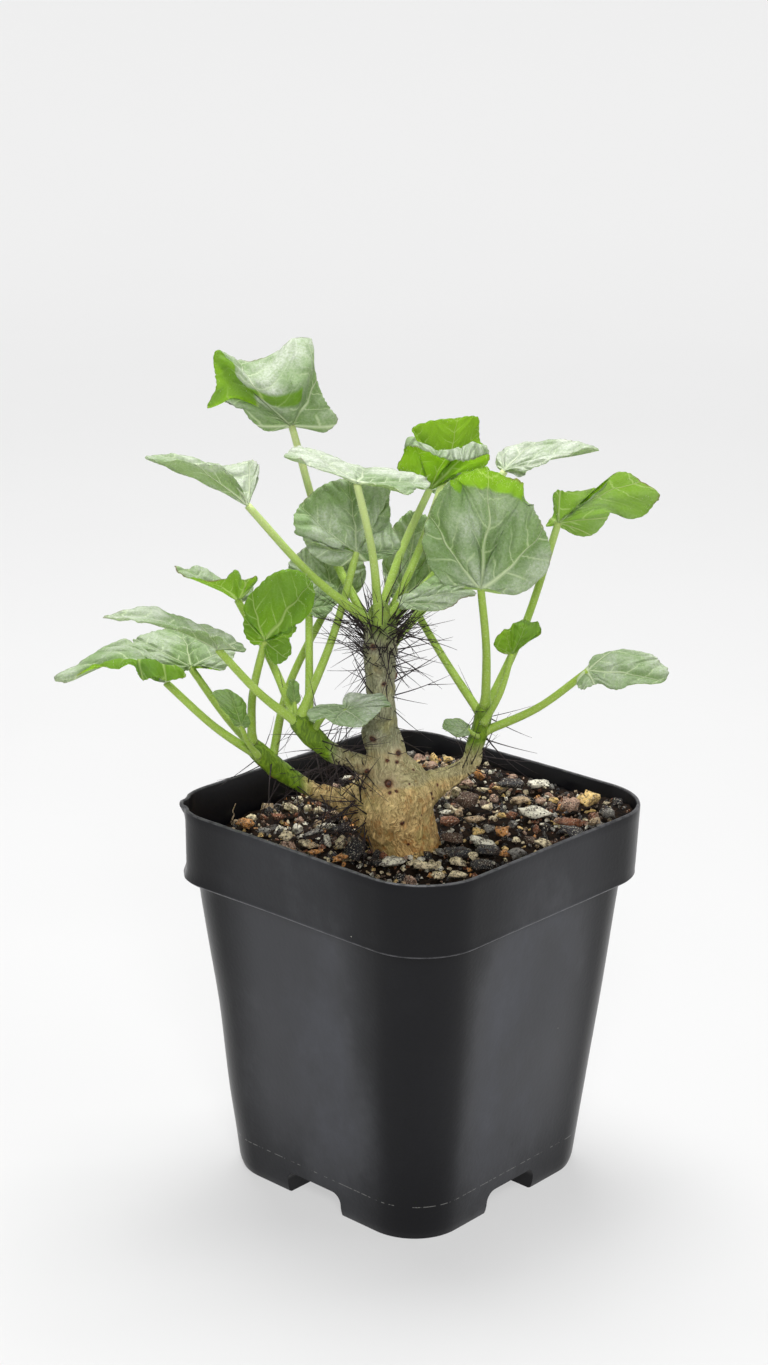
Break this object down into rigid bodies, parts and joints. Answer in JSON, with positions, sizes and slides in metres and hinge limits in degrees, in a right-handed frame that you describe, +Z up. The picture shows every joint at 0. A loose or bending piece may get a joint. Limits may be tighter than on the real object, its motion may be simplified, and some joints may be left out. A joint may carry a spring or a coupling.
{
  "type": "potted jatropha marginata",
  "caption": "Caudex plant with a bristly trunk, short branches and round leaves on long stalks, growing in gritty mix in a square nursery pot.",
  "frame": {"origin": "middle of the pot's underside, on the surface that the pot stands on", "axes": "+Z up, X and Y along the pot's sides; the side of the plant that shows best faces the direction 42 degrees from -Y towards +X"},
  "size_m": [0.1311, 0.1285, 0.2308],
  "materials": {
    "pot_plastic": "near-black moulded plastic with a soft sheen, pale dust haze and scuffed edges",
    "grit": "dry matt grains of pumice, rust-red scoria and charcoal",
    "bark": "tan skin with fine net-like fibres, round brown scars, green shoots and near-black bristles",
    "leaf": "soft sage-green blades with a felted bloom, pale veins and yellow-green stalks"
  },
  "bodies": {
    "root": {"pot": "pot_plastic", "potting_mix": "grit", "plant_body": "bark", "leaf_crown_far_left": "leaf", "leaf_crown_left": "leaf", "leaf_crown_front": "leaf", "leaf_crown_back": "leaf", "leaf_crown_top": "leaf", "leaf_crown_right": "leaf", "leaf_crown_near_right": "leaf", "leaf_crown_rear": "leaf", "leaf_b2_back": "leaf", "leaf_b2_left": "leaf", "leaf_b2_small_left": "leaf", "leaf_b2_hidden": "leaf", "leaf_b2_young": "leaf", "leaf_b2_low": "leaf", "leaf_b1_back": "leaf", "leaf_b1_left": "leaf", "leaf_b1_rear_left": "leaf", "leaf_b1_near": "leaf", "leaf_b1_young": "leaf", "leaf_b3_big": "leaf", "leaf_b3_far_right": "leaf", "leaf_b3_small": "leaf", "leaf_b3_right": "leaf", "leaf_b3_back_left": "leaf", "leaf_b3_young": "leaf"}
  },
  "joints": []
}
